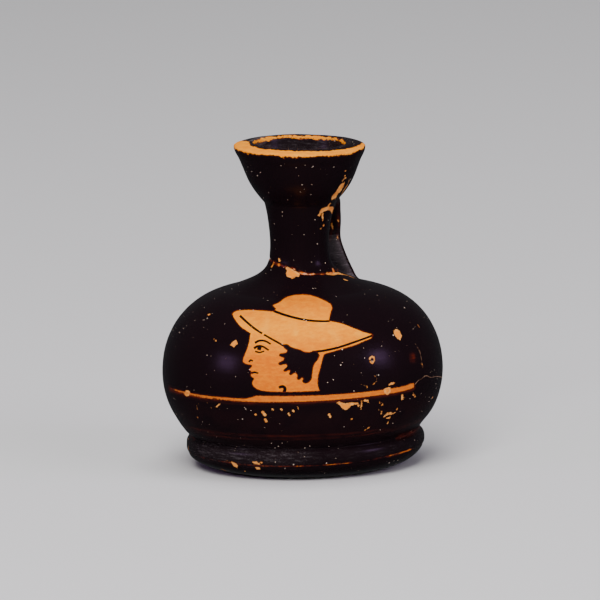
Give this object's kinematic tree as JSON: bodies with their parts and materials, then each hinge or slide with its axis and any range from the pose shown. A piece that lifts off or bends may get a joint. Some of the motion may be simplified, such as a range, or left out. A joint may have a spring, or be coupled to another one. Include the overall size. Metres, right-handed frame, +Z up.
{
  "type": "squat lekythos",
  "caption": "Squat oil flask of dark-glazed clay with ring foot, broad rounded body, narrow neck, flaring mouth and one strap handle.",
  "frame": {"origin": "centre of the resting ring, on the plane the foot stands on", "axes": "+Z up along the axis of the body, +Y towards the handle"},
  "size_m": [0.0742, 0.0742, 0.086],
  "materials": {
    "glazed_clay": "glossy"
  },
  "bodies": {
    "root": {"lekythos": "glazed_clay"}
  },
  "joints": []
}
